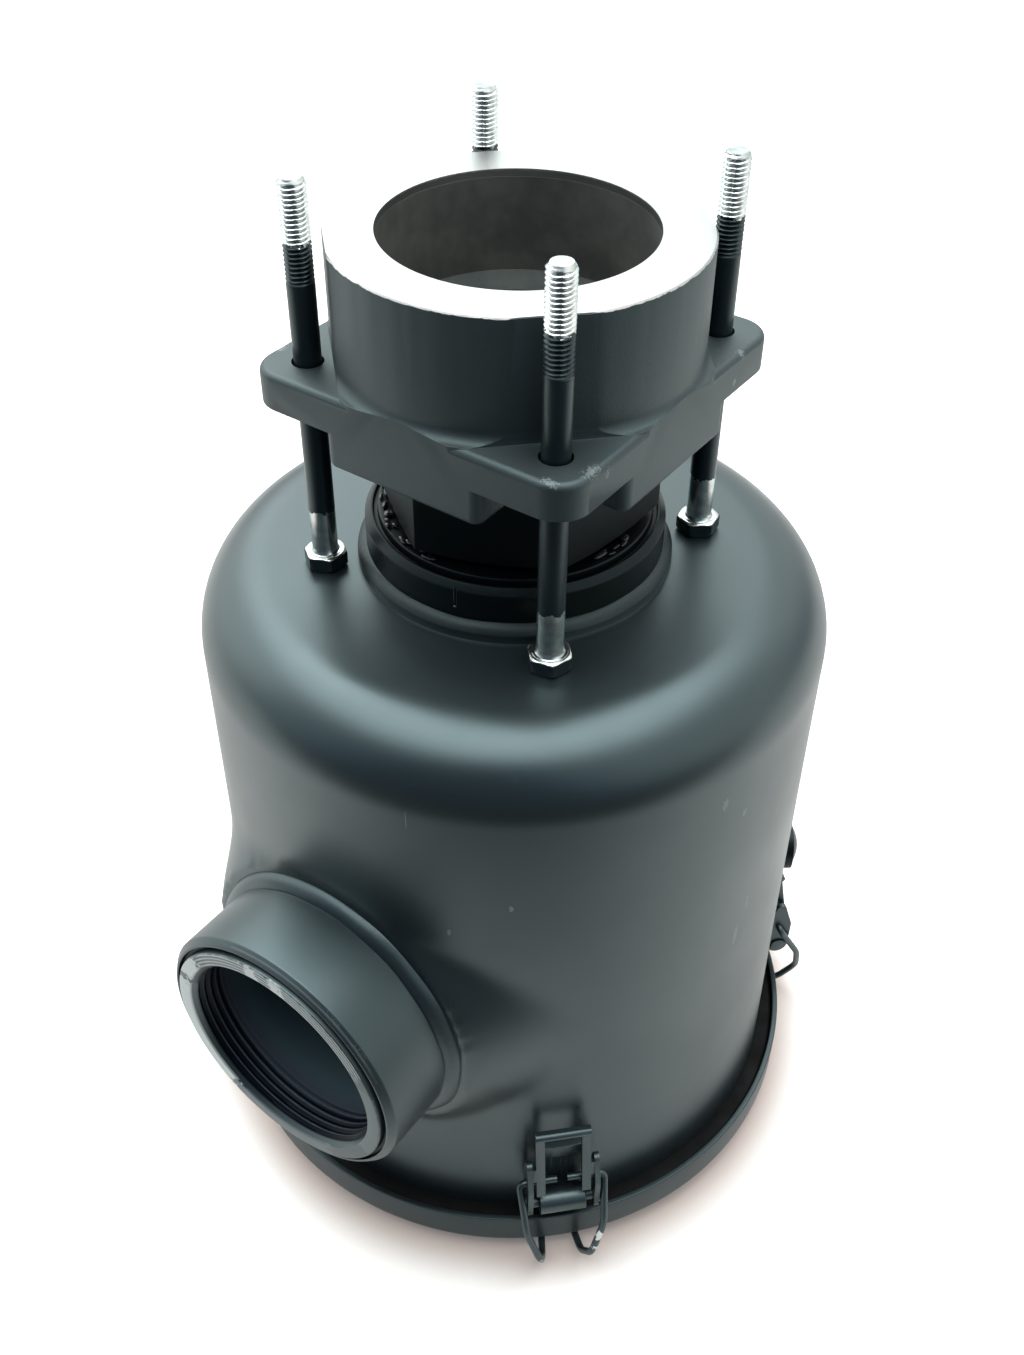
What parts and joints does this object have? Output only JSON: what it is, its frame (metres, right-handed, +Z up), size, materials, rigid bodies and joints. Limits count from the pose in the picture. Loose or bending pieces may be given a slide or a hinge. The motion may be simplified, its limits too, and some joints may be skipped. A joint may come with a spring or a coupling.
{
  "type": "vacuum pump inlet filter",
  "caption": "Steel canister air filter with clipped lid, threaded side inlet and a bolted cast flange on its neck, for the suction side of a vacuum pump.",
  "frame": {"origin": "middle of the lid's underside, the face that the filter stands on", "axes": "+Z up through the neck and the pump flange, -Y out of the side inlet"},
  "size_m": [0.2612, 0.2846, 0.4299],
  "materials": {
    "canister_paint": "satin dark blue-grey paint over pressed steel",
    "casting_paint": "satin paint over rough casting, machined top face",
    "fitting_paint": "satin paint over turned steel fittings and welds",
    "lid_paint": "satin paint over pressed steel",
    "clip_paint": "dark finish over spring steel, bare spots",
    "bolt_zinc": "zinc plated steel, overspray of dark paint on the shank",
    "seal_rubber": "black nitrile rubber",
    "cap_steel": "zinc plated sheet",
    "filter_paper": "resin-treated pleated filter paper",
    "plug_plastic": "black plastic plug"
  },
  "bodies": {
    "lid": {"lid_cover": "lid_paint", "lid_gasket": "seal_rubber", "cartridge_foot": "seal_rubber", "cartridge_bottom_cap": "cap_steel", "cartridge_inner_tube": "cap_steel", "cartridge_pleats": "filter_paper", "cartridge_guard": "cap_steel", "cartridge_top_cap": "cap_steel", "cartridge_seal": "seal_rubber"},
    "housing": {"canister_shell": "canister_paint", "neck_weld": "fitting_paint", "inlet_weld": "fitting_paint", "neck_socket": "fitting_paint", "inlet_socket": "fitting_paint", "hex_nipple": "fitting_paint", "flange_casting": "casting_paint", "gauge_boss": "fitting_paint", "gauge_plug": "plug_plastic", "clip_bracket_front": "clip_paint", "clip_bracket_right": "clip_paint", "clip_bracket_back": "clip_paint", "clip_bracket_left": "clip_paint"},
    "lever_front": {"clip_lever_front": "clip_paint", "clip_rivet_front": "clip_paint"},
    "bail_front": {"clip_bail_front": "clip_paint"},
    "lever_right": {"clip_lever_right": "clip_paint", "clip_rivet_right": "clip_paint"},
    "bail_right": {"clip_bail_right": "clip_paint"},
    "lever_back": {"clip_lever_back": "clip_paint", "clip_rivet_back": "clip_paint"},
    "bail_back": {"clip_bail_back": "clip_paint"},
    "lever_left": {"clip_lever_left": "clip_paint", "clip_rivet_left": "clip_paint"},
    "bail_left": {"clip_bail_left": "clip_paint"},
    "bolt_front": {"bolt_front": "bolt_zinc"},
    "bolt_right": {"bolt_right": "bolt_zinc"},
    "bolt_back": {"bolt_back": "bolt_zinc"},
    "bolt_left": {"bolt_left": "bolt_zinc"}
  },
  "joints": [
    {"name": "lid_release", "type": "slide", "parent": "lid", "child": "housing", "axis": [0, 0, 1], "range_m": [0, 0.02]},
    {"name": "lever_hinge_front", "type": "hinge", "parent": "housing", "child": "lever_front", "pos_m": [0.09192, -0.09192, 0.0395], "axis": [0.7071, 0.7071, 0], "range_deg": [0, 140.5]},
    {"name": "bail_hinge_front", "type": "hinge", "parent": "lever_front", "child": "bail_front", "pos_m": [0.09122, -0.09122, 0.0535], "axis": [0.7071, 0.7071, 0], "range_deg": [-215.5, 0]},
    {"name": "lever_hinge_right", "type": "hinge", "parent": "housing", "child": "lever_right", "pos_m": [0.09192, 0.09192, 0.0395], "axis": [-0.7071, 0.7071, 0], "range_deg": [0, 140.5]},
    {"name": "bail_hinge_right", "type": "hinge", "parent": "lever_right", "child": "bail_right", "pos_m": [0.09122, 0.09122, 0.0535], "axis": [-0.7071, 0.7071, 0], "range_deg": [-215.5, 0]},
    {"name": "lever_hinge_back", "type": "hinge", "parent": "housing", "child": "lever_back", "pos_m": [-0.09192, 0.09192, 0.0395], "axis": [-0.7071, -0.7071, 0], "range_deg": [0, 140.5]},
    {"name": "bail_hinge_back", "type": "hinge", "parent": "lever_back", "child": "bail_back", "pos_m": [-0.09122, 0.09122, 0.0535], "axis": [-0.7071, -0.7071, 0], "range_deg": [-215.5, 0]},
    {"name": "lever_hinge_left", "type": "hinge", "parent": "housing", "child": "lever_left", "pos_m": [-0.09192, -0.09192, 0.0395], "axis": [0.7071, -0.7071, 0], "range_deg": [0, 140.5]},
    {"name": "bail_hinge_left", "type": "hinge", "parent": "lever_left", "child": "bail_left", "pos_m": [-0.09122, -0.09122, 0.0535], "axis": [0.7071, -0.7071, 0], "range_deg": [-215.5, 0]},
    {"name": "bolt_slide_front", "type": "slide", "parent": "housing", "child": "bolt_front", "axis": [0, 0, 1], "range_m": [0, 0.0635]},
    {"name": "bolt_slide_right", "type": "slide", "parent": "housing", "child": "bolt_right", "axis": [0, 0, 1], "range_m": [0, 0.0635]},
    {"name": "bolt_slide_back", "type": "slide", "parent": "housing", "child": "bolt_back", "axis": [0, 0, 1], "range_m": [0, 0.0635]},
    {"name": "bolt_slide_left", "type": "slide", "parent": "housing", "child": "bolt_left", "axis": [0, 0, 1], "range_m": [0, 0.0635]}
  ],
  "couplings": [
    {"joint": "lever_hinge_front", "follows": "lid_release", "rad_per_m": 122.17},
    {"joint": "bail_hinge_front", "follows": "lid_release", "rad_per_m": -187.62},
    {"joint": "lever_hinge_right", "follows": "lid_release", "rad_per_m": 122.17},
    {"joint": "bail_hinge_right", "follows": "lid_release", "rad_per_m": -187.62},
    {"joint": "lever_hinge_back", "follows": "lid_release", "rad_per_m": 122.17},
    {"joint": "bail_hinge_back", "follows": "lid_release", "rad_per_m": -187.62},
    {"joint": "lever_hinge_left", "follows": "lid_release", "rad_per_m": 122.17},
    {"joint": "bail_hinge_left", "follows": "lid_release", "rad_per_m": -187.62}
  ]
}
